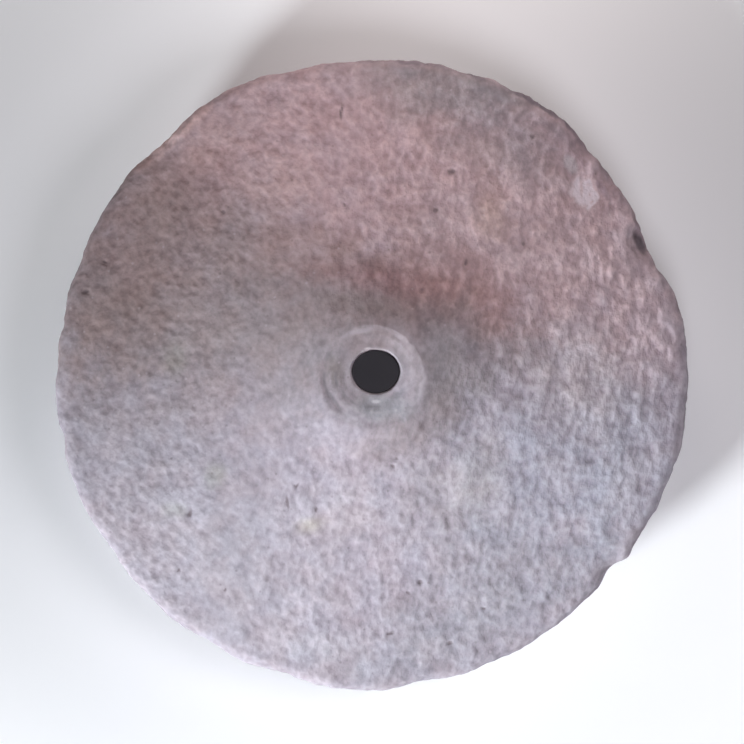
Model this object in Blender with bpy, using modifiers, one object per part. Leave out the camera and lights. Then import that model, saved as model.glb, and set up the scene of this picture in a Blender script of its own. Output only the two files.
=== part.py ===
"""Lower stone of a rotary quern: a round bedstone with a conical grinding face.

Metres, +Z up. The origin is on the ground under the middle of the stone, +Z runs
up the spindle hole, and +X and +Y are right and up for someone looking down on it.
Angles are degrees, counter-clockwise from +X.
"""

import math

import bpy

NAME = "rotary_quern"
STONE = "lower_stone"

# The whole stone
RIM_RADIUS = 0.2124
RIM_HEIGHT = 0.056
CREST_RADIUS = 0.0338
STEPS_ROUND = 108

# The grinding face falls steeply beside the collar and eases into a plain cone
CONE_SLOPE = 0.25
COLLAR_SLOPE = 0.46
FLANK_RUN = 0.021

# The worn dish around the spindle hole, from the crest of the collar inwards
CREST_SOFTNESS = 0.0024
OUTER_STEP = 0.0006
OUTER_STEP_FROM = 0.0312
INNER_STEP = 0.0013
INNER_STEP_FROM = 0.0188
INNER_STEP_TO = 0.0255
LEDGE_FALL = 0.035
DISH_LEAN = 0.0005
DISH_LEAN_DIRECTION = 205.0

# The spindle hole, wider at the underside where it was pecked through from below
HOLE_RADIUS = 0.0147
HOLE_STRETCH_X = 1.06
HOLE_STRETCH_Y = 0.95
MOUTH_ROUND = 0.0016
LOWER_MOUTH_RADIUS = 0.0215
LOWER_MOUTH_DEPTH = 0.026
HOLE_OFFSET = (0.0022, 0.0010)
RING_OFFSET = (-0.0014, -0.0040)
RING_INNER = 0.0180
RING_OUTER = 0.0420
RING_FADE = 0.0700

# The rounded rim, the tapered side and the flat underside
RIM_ROUND = 0.0075
WIDEST_HEIGHT = 0.046
UNDERSIDE_RADIUS = 0.1890
LOWER_EDGE_RADIUS = 0.1985
LOWER_EDGE_HEIGHT = 0.011

# Where the middle of the rim lies, so that the broken stone's box is centred
RIM_CENTRE = (0.0004, 0.0015)

# Losses from the rim: direction, half width in degrees, depth in metres
RIM_DENTS = (
    (4.0, 16.0, 0.0016),
    (17.0, 10.0, 0.0034),
    (25.0, 12.0, 0.0102),
    (36.0, 9.0, 0.0058),
    (44.0, 9.0, 0.0048),
    (64.0, 3.5, 0.0022),
    (73.0, 8.0, 0.0014),
    (94.0, 24.0, 0.0034),
    (105.0, 6.0, 0.0016),
    (128.0, 7.0, 0.0020),
    (134.0, 8.0, 0.0034),
    (144.0, 7.0, 0.0018),
    (152.0, 8.0, 0.0024),
    (160.0, 7.0, 0.0036),
    (170.0, 9.0, 0.0030),
    (178.0, 5.0, 0.0024),
    (192.0, 3.5, 0.0022),
    (214.0, 8.0, 0.0026),
    (224.0, 7.0, 0.0020),
    (239.0, 9.0, 0.0028),
    (253.0, 10.0, 0.0032),
    (280.0, 9.0, 0.0036),
    (292.0, 9.0, 0.0030),
    (304.0, 12.0, 0.0040),
    (314.0, 9.0, 0.0038),
    (320.5, 5.0, 0.0062),
    (329.0, 8.0, 0.0030),
    (339.0, 9.0, 0.0022),
)
DENT_FADE_RADIUS = 0.150
DENT_LEFT_AT_FOOT = 0.45

# Slow rise and fall of the rim: lobes round the stone, height, direction of a high
RIM_WAVES = ((2, 0.0014, 35.0), (3, 0.0010, 205.0), (5, 0.0006, 110.0))
WAVE_START_RADIUS = 0.060

# Hollows in the face: distance out, direction, half length along the rim,
# half width across it, depth
FACE_HOLLOWS = (
    (0.1975, 26.0, 0.0110, 0.0065, 0.0065),
    (0.1870, 41.0, 0.0130, 0.0110, 0.0014),
    (0.2040, 320.5, 0.0120, 0.0080, 0.0022),
    (0.2050, 134.0, 0.0180, 0.0080, 0.0018),
)

STONE_COLOUR = (0.37, 0.32, 0.36, 1.0)
STONE_ROUGHNESS = 0.92


def smooth_step(low, high, value):
    """Ease from 0 at low to 1 at high."""
    share = min(max((value - low) / (high - low), 0.0), 1.0)
    return share * share * (3.0 - 2.0 * share)


def soft_min(first, second, softness):
    """The lower of two heights, rounded where they cross."""
    share = min(max(0.5 + 0.5 * (second - first) / softness, 0.0), 1.0)
    blended = second + (first - second) * share
    return blended - softness * share * (1.0 - share)


def turn_between(angle, centre):
    """Signed angle in degrees from centre to angle, the short way round."""
    return (angle - centre + 180.0) % 360.0 - 180.0


def flank_height(radius):
    """Height of the grinding face at a distance from the axis."""
    extra_slope = COLLAR_SLOPE - CONE_SLOPE
    here = math.exp(-(radius - CREST_RADIUS) / FLANK_RUN)
    at_rim = math.exp(-(RIM_RADIUS - CREST_RADIUS) / FLANK_RUN)
    rise = CONE_SLOPE * (RIM_RADIUS - radius) + extra_slope * FLANK_RUN * (here - at_rim)
    return RIM_HEIGHT + rise


def dish_height(radius):
    """Height of the stepped dish inside the collar."""
    outer = OUTER_STEP * (1.0 - smooth_step(OUTER_STEP_FROM, CREST_RADIUS, radius))
    inner = INNER_STEP * (1.0 - smooth_step(INNER_STEP_FROM, INNER_STEP_TO, radius))
    fall = LEDGE_FALL * max(CREST_RADIUS - radius, 0.0)
    return flank_height(CREST_RADIUS) - outer - inner - fall


def top_height(radius):
    """Height of the whole upper face before its edges are rounded."""
    return soft_min(flank_height(radius), dish_height(radius), CREST_SOFTNESS)


def dish_sunk(radius, angle):
    """How much deeper the dish is worn towards one side."""
    inside = 1.0 - smooth_step(OUTER_STEP_FROM, CREST_RADIUS, radius)
    towards = 0.5 + 0.5 * math.cos(math.radians(angle - DISH_LEAN_DIRECTION))
    return DISH_LEAN * towards * inside * radius / CREST_RADIUS


def rim_rounding(radius):
    """How far the rounded rim has dropped below the face."""
    past = radius - (RIM_RADIUS - RIM_ROUND)
    if past <= 0.0:
        return 0.0
    return RIM_ROUND - math.sqrt(max(RIM_ROUND ** 2 - past ** 2, 0.0))


def rim_loss(angle):
    """How much of the rim is broken away in one direction."""
    loss = 0.0
    for centre, half_width, depth in RIM_DENTS:
        turn = turn_between(angle, centre)
        if abs(turn) < half_width:
            loss += depth * (0.5 + 0.5 * math.cos(math.pi * turn / half_width))
    return loss


def rim_wave(angle):
    """Height of the slow wave of the rim in one direction."""
    return sum(
        height * math.cos(math.radians(lobes * (angle - high)))
        for lobes, height, high in RIM_WAVES
    )


def face_hollow(x, y):
    """Depth of the hollows that break the face at one place."""
    depth_here = 0.0
    for distance, direction, half_length, half_width, depth in FACE_HOLLOWS:
        radial = (math.cos(math.radians(direction)), math.sin(math.radians(direction)))
        dx = x - distance * radial[0]
        dy = y - distance * radial[1]
        across = (dx * radial[0] + dy * radial[1]) / half_width
        along = (dy * radial[0] - dx * radial[1]) / half_length
        depth_here += depth * (1.0 - smooth_step(0.35, 1.35, math.hypot(across, along)))
    return depth_here


def side_radius(height):
    """Distance of the side from the axis, drawn in slowly towards the foot."""
    if height >= LOWER_EDGE_HEIGHT:
        share_down = (WIDEST_HEIGHT - height) / (WIDEST_HEIGHT - LOWER_EDGE_HEIGHT)
        return RIM_RADIUS - (RIM_RADIUS - LOWER_EDGE_RADIUS) * share_down ** 1.5
    share_up = 1.0 - height / LOWER_EDGE_HEIGHT
    edge_width = LOWER_EDGE_RADIUS - UNDERSIDE_RADIUS
    return UNDERSIDE_RADIUS + edge_width * math.sqrt(1.0 - share_up ** 2)


def bore_radius(height):
    """Radius of the spindle hole, flared towards the underside."""
    share_down = max(1.0 - height / LOWER_MOUTH_DEPTH, 0.0)
    return HOLE_RADIUS + (LOWER_MOUTH_RADIUS - HOLE_RADIUS) * share_down ** 2


def stone_profile():
    """Half section of the stone, from the lower mouth up the hole, out and back under."""
    lip_height = top_height(HOLE_RADIUS + MOUTH_ROUND)
    bore_heights = (0.0, 0.004, 0.011, LOWER_MOUTH_DEPTH, 0.055, lip_height - 1.2 * MOUTH_ROUND)
    points = [(bore_radius(height), height) for height in bore_heights]
    points.append((HOLE_RADIUS + 0.25 * MOUTH_ROUND, lip_height - 0.4 * MOUTH_ROUND))
    dish = (HOLE_RADIUS + MOUTH_ROUND, 0.0188, 0.0208, 0.0222, 0.0236, 0.0255, 0.0285, 0.0312)
    collar = (0.0325, 0.0338, 0.0354, 0.0376, 0.0410, 0.0460, 0.0530, 0.0630, 0.0760)
    cone = (0.0910, 0.1080, 0.1260, 0.1450, 0.1640, 0.1800, 0.1920)
    edge = (RIM_RADIUS - RIM_ROUND, RIM_RADIUS - 0.0040, RIM_RADIUS - 0.0015)
    for radius in dish + collar + cone + edge:
        points.append((radius, top_height(radius) - rim_rounding(radius)))
    for height in (WIDEST_HEIGHT, 0.034, 0.022, LOWER_EDGE_HEIGHT, 0.003, 0.0):
        points.append((side_radius(height), height))
    points += [(radius, 0.0) for radius in (0.120, 0.055)]
    return points


def worn_place(x, y, height, is_top):
    """Move a point of the turned stone to where wear and breakage have left it."""
    radius = math.hypot(x, y)
    angle = math.degrees(math.atan2(y, x))
    loss = rim_loss(angle)
    if is_top:
        kept = radius - loss * smooth_step(DENT_FADE_RADIUS, RIM_RADIUS - RIM_ROUND, radius)
        height += top_height(kept) - top_height(radius)
        height += rim_wave(angle) * smooth_step(WAVE_START_RADIUS, RIM_RADIUS, radius)
        height -= dish_sunk(radius, angle)
    else:
        share_up = smooth_step(0.0, WIDEST_HEIGHT, height)
        foot_share = DENT_LEFT_AT_FOOT + (1.0 - DENT_LEFT_AT_FOOT) * share_up
        kept = radius - loss * foot_share * smooth_step(0.150, LOWER_EDGE_RADIUS, radius)
        height += rim_wave(angle) * share_up * smooth_step(0.180, RIM_RADIUS, radius)
    x *= kept / radius
    y *= kept / radius
    if is_top:
        height -= face_hollow(x, y)
    oval = 1.0 - smooth_step(HOLE_RADIUS, INNER_STEP_TO, radius)
    x *= 1.0 + (HOLE_STRETCH_X - 1.0) * oval
    y *= 1.0 + (HOLE_STRETCH_Y - 1.0) * oval
    in_hole = 1.0 - smooth_step(RING_INNER, RING_OUTER, radius)
    in_ring = (1.0 - in_hole) * (1.0 - smooth_step(RING_OUTER, RING_FADE, radius))
    x += RIM_CENTRE[0] + in_hole * HOLE_OFFSET[0] + in_ring * RING_OFFSET[0]
    y += RIM_CENTRE[1] + in_hole * HOLE_OFFSET[1] + in_ring * RING_OFFSET[1]
    return x, y, height


def turned_object(name, profile, steps):
    """A closed profile turned about the Z axis."""
    mesh = bpy.data.meshes.new(name + "_profile")
    edges = [(index, (index + 1) % len(profile)) for index in range(len(profile))]
    mesh.from_pydata([(radius, 0.0, height) for radius, height in profile], edges, [])
    turned = bpy.data.objects.new(name, mesh)
    screw = turned.modifiers.new("Turn", "SCREW")
    screw.axis = "Z"
    screw.angle = math.tau
    screw.steps = steps
    screw.render_steps = steps
    screw.use_merge_vertices = True
    screw.merge_threshold = 0.00001
    return turned


def apply_modifiers(thing):
    """Give an object the mesh that its modifiers make."""
    bpy.context.view_layer.update()
    evaluated = thing.evaluated_get(bpy.context.evaluated_depsgraph_get())
    mesh = bpy.data.meshes.new_from_object(evaluated)
    profile = thing.data
    thing.modifiers.clear()
    thing.data = mesh
    bpy.data.meshes.remove(profile)


def stone_material():
    """Dry grey stone with a lilac cast."""
    material = bpy.data.materials.new("stone")
    material.use_nodes = True
    shader = material.node_tree.nodes["Principled BSDF"]
    shader.inputs["Base Color"].default_value = STONE_COLOUR
    shader.inputs["Roughness"].default_value = STONE_ROUGHNESS
    shader.inputs["Metallic"].default_value = 0.0
    return material


def build_lower_stone(collection):
    """The bedstone: one carved piece with its collar, dish, hole and broken rim."""
    stone = turned_object(STONE, stone_profile(), STEPS_ROUND)
    collection.objects.link(stone)
    apply_modifiers(stone)
    for vertex in stone.data.vertices:
        x, y, height = vertex.co
        is_top = height > WIDEST_HEIGHT + 0.0001 and math.hypot(x, y) > HOLE_RADIUS + 0.0001
        vertex.co = worn_place(x, y, height, is_top)
    stone.data.materials.clear()
    stone.data.materials.append(stone_material())
    stone.data.shade_smooth()
    stone.data.set_sharp_from_angle(angle=math.radians(40.0))
    return stone


def main():
    """Clear the scene and build the part in a collection of its own."""
    for thing in list(bpy.data.objects):
        bpy.data.objects.remove(thing, do_unlink=True)
    collection = bpy.data.collections.new(NAME)
    bpy.context.scene.collection.children.link(collection)
    build_lower_stone(collection)


main()
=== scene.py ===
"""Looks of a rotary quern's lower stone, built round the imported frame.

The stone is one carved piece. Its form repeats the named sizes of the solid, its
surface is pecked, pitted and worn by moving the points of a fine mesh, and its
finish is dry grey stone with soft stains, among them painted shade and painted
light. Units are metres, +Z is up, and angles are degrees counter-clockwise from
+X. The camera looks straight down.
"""

import logging
import math
from collections.abc import Iterator, Sequence
from dataclasses import dataclass, field
from enum import Enum
from typing import ClassVar

import bpy
import numpy as np
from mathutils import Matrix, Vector, noise
from numpy.typing import NDArray


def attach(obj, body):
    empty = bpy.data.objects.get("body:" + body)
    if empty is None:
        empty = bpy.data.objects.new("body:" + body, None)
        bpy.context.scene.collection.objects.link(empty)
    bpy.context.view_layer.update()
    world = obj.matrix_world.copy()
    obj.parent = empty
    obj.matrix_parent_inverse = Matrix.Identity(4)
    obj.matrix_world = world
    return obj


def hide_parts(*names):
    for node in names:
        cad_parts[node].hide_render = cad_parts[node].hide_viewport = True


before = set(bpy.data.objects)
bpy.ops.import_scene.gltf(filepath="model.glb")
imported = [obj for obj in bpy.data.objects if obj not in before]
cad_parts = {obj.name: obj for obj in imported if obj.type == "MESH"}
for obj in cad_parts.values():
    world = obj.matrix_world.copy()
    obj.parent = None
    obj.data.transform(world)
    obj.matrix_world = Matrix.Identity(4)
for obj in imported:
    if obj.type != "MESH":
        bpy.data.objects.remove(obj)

Values = NDArray[np.float64]
Colour = tuple[float, float, float]
Socket = bpy.types.NodeSocket
Outputs = bpy.types.NodeOutputs

LOG = logging.getLogger("quern")
STONE_NODE = "lower_stone"
MM = 0.001


def smooth_step(low: float, high: float, value: Values) -> Values:
    """Ease from 0 to 1 between two values.

    Args:
        low: Where the ramp starts.
        high: Where the ramp ends.
        value: The values to ease.

    Returns:
        The eased shares, one for each value.
    """
    share = np.clip((value - low) / (high - low), 0.0, 1.0)
    return share * share * (3.0 - 2.0 * share)


def soft_min(first: Values, second: Values, softness: float) -> Values:
    """Take the lower of two heights, rounded where they cross.

    Args:
        first: One surface's heights.
        second: The other surface's heights.
        softness: Height difference over which the crossing is rounded.

    Returns:
        The rounded lower heights.
    """
    share = np.clip(0.5 + 0.5 * (second - first) / softness, 0.0, 1.0)
    return second + (first - second) * share - softness * share * (1.0 - share)


def turned(x: Values, y: Values, angle_deg: float) -> tuple[Values, Values]:
    """Read places along a direction and across it.

    Args:
        x: Places along +X.
        y: Places along +Y.
        angle_deg: The direction to read along.

    Returns:
        How far each place lies along the direction, and how far to its left.
    """
    cos, sin = math.cos(math.radians(angle_deg)), math.sin(math.radians(angle_deg))
    return x * cos + y * sin, y * cos - x * sin


def turn_from(centre_deg: float, angle_deg: Values) -> Values:
    """Turns from one direction to others, from -180 to 180 degrees."""
    return (angle_deg - centre_deg + 180.0) % 360.0 - 180.0


class Zone(Enum):
    """The differently worked parts of the stone's surface."""

    FACE = 0
    SIDE = 1
    UNDERSIDE = 2
    BORE = 3


class Layer(Enum):
    """What the mesh's points hold for the finish to read."""

    MARK = "mark"
    GROOVE_SHADE = "groove_shade"
    RUBBED_AND_LIT = "rubbed_and_lit"
    SCAR = "scar"
    PECKING = "pecking"
    SHADE_AND_GRIME = "edge_shade_and_grime"
    KEENNESS = "keenness"


@dataclass(frozen=True)
class Dent:
    """A loss from the rim."""

    centre_deg: float
    half_width_deg: float
    depth: float

    def loss(self, angle_deg: Values) -> Values:
        """Work out how much of the rim is gone.

        Args:
            angle_deg: Directions round the stone.

        Returns:
            Radial loss in metres in each direction.
        """
        turn = turn_from(self.centre_deg, angle_deg)
        share = 0.5 + 0.5 * np.cos(np.pi * turn / self.half_width_deg)
        return np.where(np.abs(turn) < self.half_width_deg, self.depth * share, 0.0)


@dataclass(frozen=True)
class Hollow:
    """A hollow broken or struck out of the face, level at its floor and rounded to its lip."""

    distance: float
    direction_deg: float
    half_length: float
    half_width: float
    depth: float
    floor_share: ClassVar[float] = 0.35
    lip_share: ClassVar[float] = 1.35

    def sunk(self, x: Values, y: Values) -> Values:
        """Work out how deep the hollow is.

        Args:
            x: Places from the middle of the rim.
            y: Places from the middle of the rim.

        Returns:
            Depth in metres at each place.
        """
        outwards, along = turned(x, y, self.direction_deg)
        spread = np.hypot((outwards - self.distance) / self.half_width, along / self.half_length)
        return self.depth * (1.0 - smooth_step(self.floor_share, self.lip_share, spread))


@dataclass(frozen=True)
class StoneForm:
    """The carved form, with the same named sizes as the solid."""

    rim_radius: float = 0.2124
    rim_height: float = 0.056
    crest_radius: float = 0.0338
    cone_slope: float = 0.25
    collar_slope: float = 0.46
    flank_run: float = 0.021
    crest_softness: float = 0.0024
    outer_step: float = 0.0006
    outer_step_from: float = 0.0312
    inner_step: float = 0.0013
    inner_step_from: float = 0.0188
    inner_step_to: float = 0.0255
    ledge_fall: float = 0.035
    dish_lean: float = 0.0005
    dish_lean_deg: float = 205.0
    hole_radius: float = 0.0147
    hole_stretch: tuple[float, float] = (1.06, 0.95)
    mouth_round: float = 0.0016
    lower_mouth_radius: float = 0.0215
    lower_mouth_depth: float = 0.026
    hole_offset: tuple[float, float] = (0.0022, 0.0010)
    ring_offset: tuple[float, float] = (-0.0014, -0.0040)
    ring_inner: float = 0.0180
    ring_outer: float = 0.0420
    ring_fade: float = 0.0700
    rim_round: float = 0.0075
    widest_height: float = 0.046
    underside_radius: float = 0.1890
    lower_edge_radius: float = 0.1985
    lower_edge_height: float = 0.011
    side_curve: float = 1.5
    rim_centre: tuple[float, float] = (0.0004, 0.0015)
    dent_fade_radius: float = 0.150
    dent_left_at_foot: float = 0.45
    wave_start_radius: float = 0.060
    side_wave_start_radius: float = 0.180
    dents: tuple[Dent, ...] = (
        Dent(4.0, 16.0, 0.0016),
        Dent(17.0, 10.0, 0.0034),
        Dent(25.0, 12.0, 0.0102),
        Dent(36.0, 9.0, 0.0058),
        Dent(44.0, 9.0, 0.0048),
        Dent(64.0, 3.5, 0.0022),
        Dent(73.0, 8.0, 0.0014),
        Dent(94.0, 24.0, 0.0034),
        Dent(105.0, 6.0, 0.0016),
        Dent(128.0, 7.0, 0.0020),
        Dent(134.0, 8.0, 0.0034),
        Dent(144.0, 7.0, 0.0018),
        Dent(152.0, 8.0, 0.0024),
        Dent(160.0, 7.0, 0.0036),
        Dent(170.0, 9.0, 0.0030),
        Dent(178.0, 5.0, 0.0024),
        Dent(192.0, 3.5, 0.0022),
        Dent(214.0, 8.0, 0.0026),
        Dent(224.0, 7.0, 0.0020),
        Dent(239.0, 9.0, 0.0028),
        Dent(253.0, 10.0, 0.0032),
        Dent(280.0, 9.0, 0.0036),
        Dent(292.0, 9.0, 0.0030),
        Dent(304.0, 12.0, 0.0040),
        Dent(314.0, 9.0, 0.0038),
        Dent(320.5, 5.0, 0.0062),
        Dent(329.0, 8.0, 0.0030),
        Dent(339.0, 9.0, 0.0022),
    )
    waves: tuple[tuple[int, float, float], ...] = (
        (2, 0.0014, 35.0),
        (3, 0.0010, 205.0),
        (5, 0.0006, 110.0),
    )
    hollows: tuple[Hollow, ...] = (
        Hollow(0.1975, 26.0, 0.0110, 0.0065, 0.0065),
        Hollow(0.1870, 41.0, 0.0130, 0.0110, 0.0014),
        Hollow(0.2040, 320.5, 0.0120, 0.0080, 0.0022),
        Hollow(0.2050, 134.0, 0.0180, 0.0080, 0.0018),
    )

    def flank_height(self, radius: Values) -> Values:
        """Find the height of the grinding face.

        Args:
            radius: Distances from the axis.

        Returns:
            Heights of the cone, steeper beside the collar.
        """
        extra_slope = self.collar_slope - self.cone_slope
        here = np.exp(-(radius - self.crest_radius) / self.flank_run)
        at_rim = math.exp(-(self.rim_radius - self.crest_radius) / self.flank_run)
        rise = self.cone_slope * (self.rim_radius - radius)
        return self.rim_height + rise + extra_slope * self.flank_run * (here - at_rim)

    def dish_height(self, radius: Values) -> Values:
        """Find the height of the stepped dish inside the collar.

        Args:
            radius: Distances from the axis.

        Returns:
            Heights of the dish, level with the crest outside it.
        """
        outer = 1.0 - smooth_step(self.outer_step_from, self.crest_radius, radius)
        inner = 1.0 - smooth_step(self.inner_step_from, self.inner_step_to, radius)
        fall = self.ledge_fall * np.maximum(self.crest_radius - radius, 0.0)
        crest = self.flank_height(np.array(self.crest_radius))
        return crest - self.outer_step * outer - self.inner_step * inner - fall

    def top_height(self, radius: Values) -> Values:
        """Height of the whole upper face before its edges are rounded."""
        return soft_min(self.flank_height(radius), self.dish_height(radius), self.crest_softness)

    def side_radius(self, height: Values) -> Values:
        """Find how far the side stands from the axis.

        Args:
            height: Heights from the ground up to the widest level.

        Returns:
            Distances from the axis.
        """
        reach = self.widest_height - self.lower_edge_height
        share_down = np.clip((self.widest_height - height) / reach, 0.0, 1.0)
        drawn_in = (self.rim_radius - self.lower_edge_radius) * share_down ** self.side_curve
        share_up = np.clip(1.0 - height / self.lower_edge_height, 0.0, 1.0)
        edge_width = self.lower_edge_radius - self.underside_radius
        foot = self.underside_radius + edge_width * np.sqrt(1.0 - share_up ** 2)
        return np.where(height >= self.lower_edge_height, self.rim_radius - drawn_in, foot)

    def bore_radius(self, height: Values) -> Values:
        """Radius of the spindle hole, flared towards the underside."""
        share_down = np.clip(1.0 - height / self.lower_mouth_depth, 0.0, 1.0)
        return self.hole_radius + (self.lower_mouth_radius - self.hole_radius) * share_down ** 2

    def dish_sunk(self, radius: Values, angle_deg: Values) -> Values:
        """Find how much deeper the dish is worn towards one side.

        Args:
            radius: Distances from the axis.
            angle_deg: Directions round the stone.

        Returns:
            Extra depth in metres.
        """
        inside = 1.0 - smooth_step(self.outer_step_from, self.crest_radius, radius)
        towards = 0.5 + 0.5 * np.cos(np.radians(angle_deg - self.dish_lean_deg))
        return self.dish_lean * towards * inside * radius / self.crest_radius

    def rim_loss(self, angle_deg: Values) -> Values:
        """Radial loss of the broken rim in each direction."""
        return sum(dent.loss(angle_deg) for dent in self.dents)

    def rim_wave(self, angle_deg: Values) -> Values:
        """Slow rise and fall of the rim in each direction."""
        return sum(
            height * np.cos(np.radians(lobes * (angle_deg - high)))
            for lobes, height, high in self.waves
        )

    def worn_place(self, x: Values, y: Values, height: Values, on_top: NDArray[np.bool_]) -> Values:
        """Move the turned stone's points to where wear and breakage have left them.

        Args:
            x: Places of the turned points.
            y: Places of the turned points.
            height: Heights of the turned points.
            on_top: True for points of the upper face.

        Returns:
            The moved points, one row of x, y and z each.
        """
        radius = np.hypot(x, y)
        angle = np.degrees(np.arctan2(y, x))
        loss = self.rim_loss(angle)
        wave = self.rim_wave(angle)
        edge_start = self.rim_radius - self.rim_round
        kept_top = radius - loss * smooth_step(self.dent_fade_radius, edge_start, radius)
        raised = self.top_height(kept_top) - self.top_height(radius)
        raised += wave * smooth_step(self.wave_start_radius, self.rim_radius, radius)
        raised -= self.dish_sunk(radius, angle)
        share_up = smooth_step(0.0, self.widest_height, height)
        foot_share = self.dent_left_at_foot + (1.0 - self.dent_left_at_foot) * share_up
        side_fade = smooth_step(self.dent_fade_radius, self.lower_edge_radius, radius)
        kept_side = radius - loss * foot_share * side_fade
        lifted = wave * share_up * smooth_step(self.side_wave_start_radius, self.rim_radius, radius)
        kept = np.where(on_top, kept_top, kept_side) / radius
        x, y = x * kept, y * kept
        sunk = sum(hollow.sunk(x, y) for hollow in self.hollows)
        height = height + np.where(on_top, raised - sunk, lifted)
        oval = 1.0 - smooth_step(self.hole_radius, self.inner_step_to, radius)
        in_hole = 1.0 - smooth_step(self.ring_inner, self.ring_outer, radius)
        in_ring = (1.0 - in_hole) * (1.0 - smooth_step(self.ring_outer, self.ring_fade, radius))
        moved = []
        for axis, place in enumerate((x, y)):
            place = place * (1.0 + (self.hole_stretch[axis] - 1.0) * oval)
            place = place + in_hole * self.hole_offset[axis] + in_ring * self.ring_offset[axis]
            moved.append(place + self.rim_centre[axis])
        return np.stack([*moved, height], axis=1)


@dataclass(frozen=True)
class Ring:
    """One ring of the stone's mesh."""

    radius: float
    height: float
    count: int
    zone: Zone


@dataclass
class RingPlan:
    """How finely each zone of the stone is divided."""

    form: StoneForm
    first_count: int = 96
    widest_gap: float = 0.00195
    face_step: float = 0.0015
    mouth_turn_deg: float = 30.0
    rounding_steps: int = 8
    side_step: float = 0.0020
    side_fine_to: float = 0.030
    foot_step: float = 0.0030
    foot_turn_deg: float = 18.0
    underside_step: float = 0.0045
    underside_gap: float = 0.0037
    bore_step: float = 0.0024

    def count_at(self, radius: float, gap: float) -> int:
        """Number of points round a ring, doubled until they are close enough."""
        count = self.first_count
        while math.tau * radius / count > gap:
            count *= 2
        return count

    def steps(self, start: float, end: float, step: float) -> Values:
        """Evenly spaced values from start up to, but not with, end."""
        count = max(round(abs(end - start) / step), 1)
        return np.linspace(start, end, count, endpoint=False)

    def face_rings(self) -> Iterator[Ring]:
        """Rings of the upper face, from the mouth of the hole to the rim."""
        form = self.form
        lip = form.hole_radius + form.mouth_round
        lip_height = float(form.top_height(np.array(lip)))
        for turn_deg in self.steps(0.0, 90.0, self.mouth_turn_deg):
            angle = math.radians(turn_deg)
            radius = lip - form.mouth_round * math.cos(angle)
            height = lip_height - form.mouth_round * (1.0 - math.sin(angle))
            yield Ring(radius, height, self.first_count, Zone.FACE)
        for radius in self.steps(lip, form.rim_radius - form.rim_round, self.face_step):
            height = float(form.top_height(radius))
            yield Ring(radius, height, self.count_at(radius, self.widest_gap), Zone.FACE)
        most = self.count_at(form.rim_radius, self.widest_gap)
        for step in range(self.rounding_steps + 1):
            angle = 0.5 * math.pi * step / self.rounding_steps
            radius = form.rim_radius - form.rim_round * (1.0 - math.sin(angle))
            drop = form.rim_round * (1.0 - math.cos(angle))
            yield Ring(radius, float(form.top_height(radius)) - drop, most, Zone.FACE)

    def side_rings(self) -> Iterator[Ring]:
        """Rings of the side, from the widest level down to the ground."""
        form = self.form
        most = self.count_at(form.rim_radius, self.widest_gap)
        for height in self.steps(form.widest_height, self.side_fine_to, self.side_step):
            yield Ring(float(form.side_radius(height)), height, most, Zone.SIDE)
        for height in self.steps(self.side_fine_to, form.lower_edge_height, self.foot_step):
            yield Ring(float(form.side_radius(height)), height, most // 2, Zone.SIDE)
        for turn_deg in self.steps(0.0, 90.0, self.foot_turn_deg):
            height = form.lower_edge_height * (1.0 - math.sin(math.radians(turn_deg)))
            yield Ring(float(form.side_radius(height)), height, most // 2, Zone.SIDE)

    def underside_rings(self) -> Iterator[Ring]:
        """Rings of the underside, inwards to the lower mouth of the hole."""
        form = self.form
        start, end = form.underside_radius, form.lower_mouth_radius
        for radius in self.steps(start, end, self.underside_step):
            yield Ring(radius, 0.0, self.count_at(radius, self.underside_gap), Zone.UNDERSIDE)

    def bore_rings(self) -> Iterator[Ring]:
        """Rings of the spindle hole, upwards to its mouth."""
        form = self.form
        lip = form.hole_radius + form.mouth_round
        top = float(form.top_height(np.array(lip))) - form.mouth_round
        for height in self.steps(0.0, top, self.bore_step):
            yield Ring(float(form.bore_radius(height)), height, self.first_count, Zone.BORE)

    def rings(self) -> list[Ring]:
        """All rings in order, out over the face, down, under and up the hole."""
        zones = (self.face_rings, self.side_rings, self.underside_rings, self.bore_rings)
        return [ring for zone in zones for ring in zone()]


class RingSkin:
    """A closed skin through a loop of rings whose counts may double or halve."""

    def __init__(self, rings: Sequence[Ring]) -> None:
        """Lay out the points of the rings.

        Args:
            rings: The rings in order; the last joins the first.
        """
        self.rings = rings
        counts = [ring.count for ring in rings]
        self.starts = np.concatenate([[0], np.cumsum(counts)[:-1]]).astype(int)
        turns = [np.arange(count) * math.tau / count for count in counts]
        self.turn = np.concatenate(turns)
        self.radius = np.repeat([ring.radius for ring in rings], counts)
        self.height = np.repeat([ring.height for ring in rings], counts)
        self.zone = np.repeat([ring.zone.value for ring in rings], counts)

    def on(self, zone: Zone) -> NDArray[np.bool_]:
        """Which points lie on one zone of the stone."""
        return self.zone == zone.value

    def band(self, first: int, second: int) -> Iterator[tuple[int, ...]]:
        """Yield the faces between two neighbouring rings.

        Args:
            first: Place of the ring that comes first in the loop.
            second: Place of the ring that follows it.

        Yields:
            Point numbers of each face, turning outwards.
        """
        near, far = self.rings[first].count, self.rings[second].count
        start_near, start_far = int(self.starts[first]), int(self.starts[second])
        if near == far:
            for i in range(near):
                j = (i + 1) % near
                yield (start_near + i, start_far + i, start_far + j, start_near + j)
        elif far == 2 * near:
            for i in range(near):
                here, beside = start_near + i, start_near + (i + 1) % near
                left, middle = start_far + 2 * i, start_far + 2 * i + 1
                right = start_far + (2 * i + 2) % far
                yield from ((here, left, middle), (here, middle, beside), (beside, middle, right))
        else:
            for i in range(far):
                here, beside = start_far + i, start_far + (i + 1) % far
                left, middle = start_near + 2 * i, start_near + 2 * i + 1
                right = start_near + (2 * i + 2) % near
                yield from ((here, middle, left), (here, beside, middle), (beside, right, middle))

    def faces(self) -> list[tuple[int, ...]]:
        """All faces of the closed skin."""
        total = len(self.rings)
        return [face for i in range(total) for face in self.band(i, (i + 1) % total)]


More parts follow.
